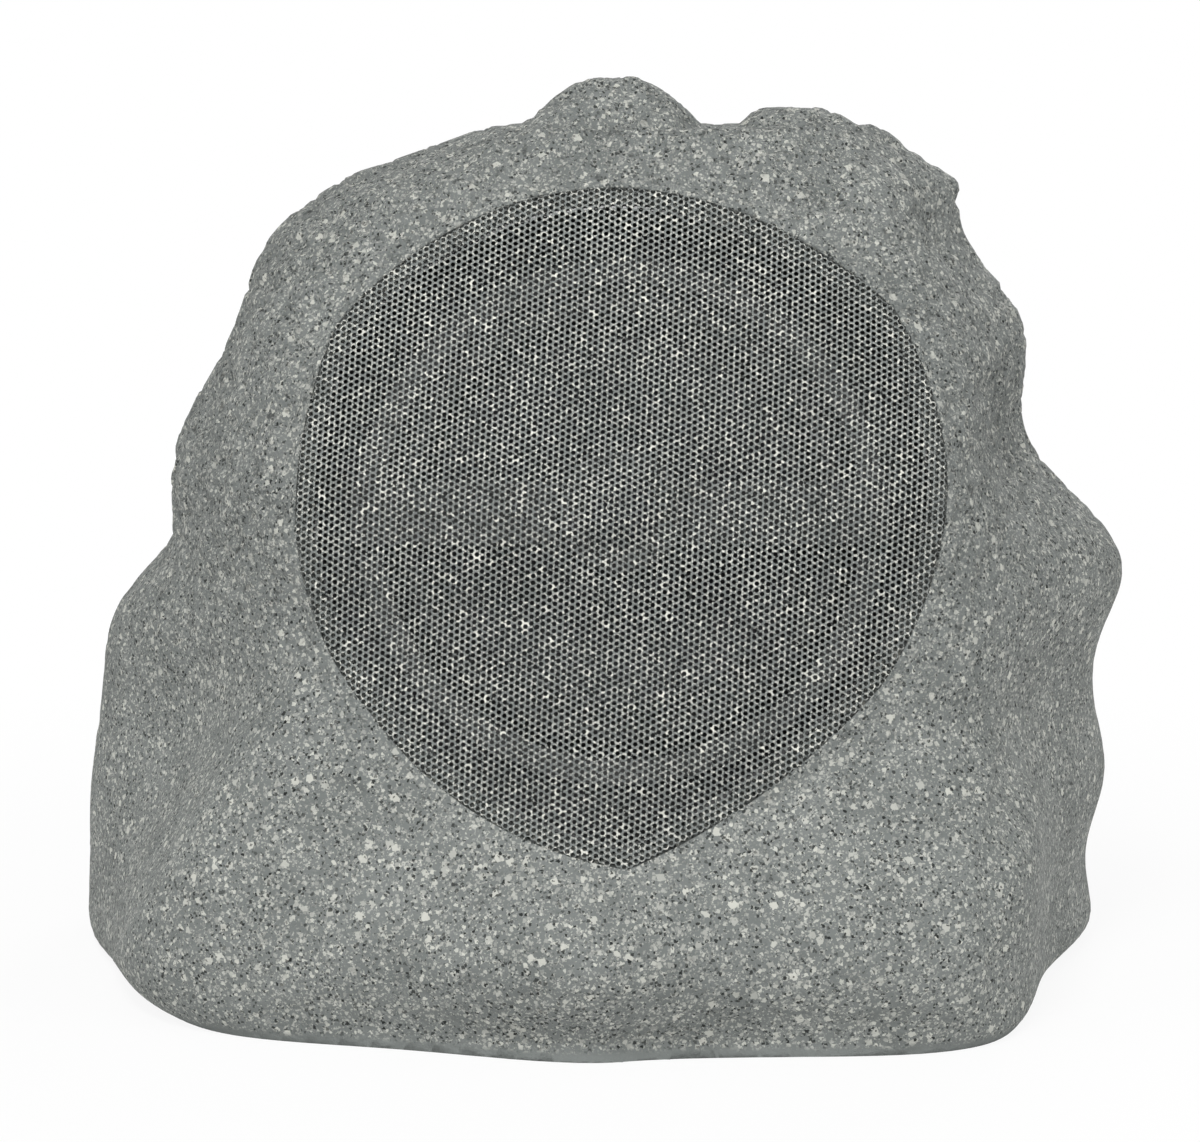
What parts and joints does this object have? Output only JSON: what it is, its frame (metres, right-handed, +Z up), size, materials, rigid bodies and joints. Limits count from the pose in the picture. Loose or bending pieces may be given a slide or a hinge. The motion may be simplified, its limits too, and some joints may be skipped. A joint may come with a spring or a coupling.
{
  "type": "rock shaped garden speaker",
  "caption": "Outdoor loudspeaker in a hollow moulded rock shell, with a perforated shield-shaped grille, a woofer with a bridged tweeter, a crossover, a base plate and a rear cable gland.",
  "frame": {"origin": "on the ground, under the middle of the rock", "axes": "+Z up, +X to the right seen from the front, the grille faces -Y"},
  "size_m": [0.4226, 0.3442, 0.352],
  "materials": {
    "rock_finish": "grey-green granite fleck coat with cream and black flecks, matt and slightly rough",
    "grille_finish": "grey paint with fine pale speckle, matt",
    "baffle_board": "black moulded board, matt",
    "foam": "black closed-cell foam",
    "screw_steel": "stainless steel",
    "black_screw": "black phosphate on steel",
    "driver_frame": "black paint on pressed steel",
    "soft_rubber": "black butyl rubber, matt",
    "cone_plastic": "dark grey moulded polypropylene",
    "former_foil": "rolled foil",
    "copper_wire": "enamelled copper wire",
    "spider_cloth": "resin-stiffened yellow-brown cloth",
    "zinc_steel": "zinc plated steel",
    "ferrite": "dark grey sintered ferrite",
    "magnet_plating": "nickel plated",
    "dome_silk": "coated silk, satin",
    "black_plastic": "black nylon, fine grain",
    "base_plastic": "dark grey moulded plastic, fine grain",
    "board_laminate": "green glass-epoxy laminate",
    "film_sleeve": "yellow film wrap",
    "resistor_ceramic": "white cement body",
    "terminal_plastic": "blue moulded plastic"
  },
  "bodies": {
    "housing": {"rock_shell": "rock_finish", "grille": "grille_finish", "baffle": "baffle_board", "baffle_gasket": "foam", "baffle_screws": "screw_steel", "woofer_frame": "driver_frame", "woofer_gasket": "foam", "woofer_screws": "black_screw", "woofer_surround": "soft_rubber", "woofer_spider": "spider_cloth", "top_plate": "zinc_steel", "woofer_magnet": "ferrite", "back_plate": "zinc_steel", "tweeter_bridge": "black_plastic", "bridge_screws": "black_screw", "tweeter_pot": "zinc_steel", "tweeter_magnet": "magnet_plating", "tweeter_pole_plate": "zinc_steel", "tweeter_dome": "dome_silk", "tweeter_faceplate": "black_plastic", "base_plate": "base_plastic", "base_gasket": "foam", "base_screws": "screw_steel", "crossover_board": "board_laminate", "board_screws": "screw_steel", "coil_bobbins": "black_plastic", "coil_windings": "copper_wire", "capacitors": "film_sleeve", "resistor": "resistor_ceramic", "terminal_block": "terminal_plastic", "gland_body": "black_plastic", "gland_washer": "soft_rubber", "gland_locknut": "black_plastic", "gland_seal": "soft_rubber", "gland_cap": "black_plastic"},
    "cone_assembly": {"woofer_cone": "cone_plastic", "dust_cap": "cone_plastic", "coil_former": "former_foil", "voice_coil": "copper_wire"}
  },
  "joints": [
    {"name": "cone_travel", "type": "slide", "parent": "housing", "child": "cone_assembly", "axis": [0, -0.9613, 0.2756], "range_m": [-0.005, 0.005], "stiffness_N_per_m": 1700, "deforming": ["woofer_surround", "woofer_spider"]}
  ]
}
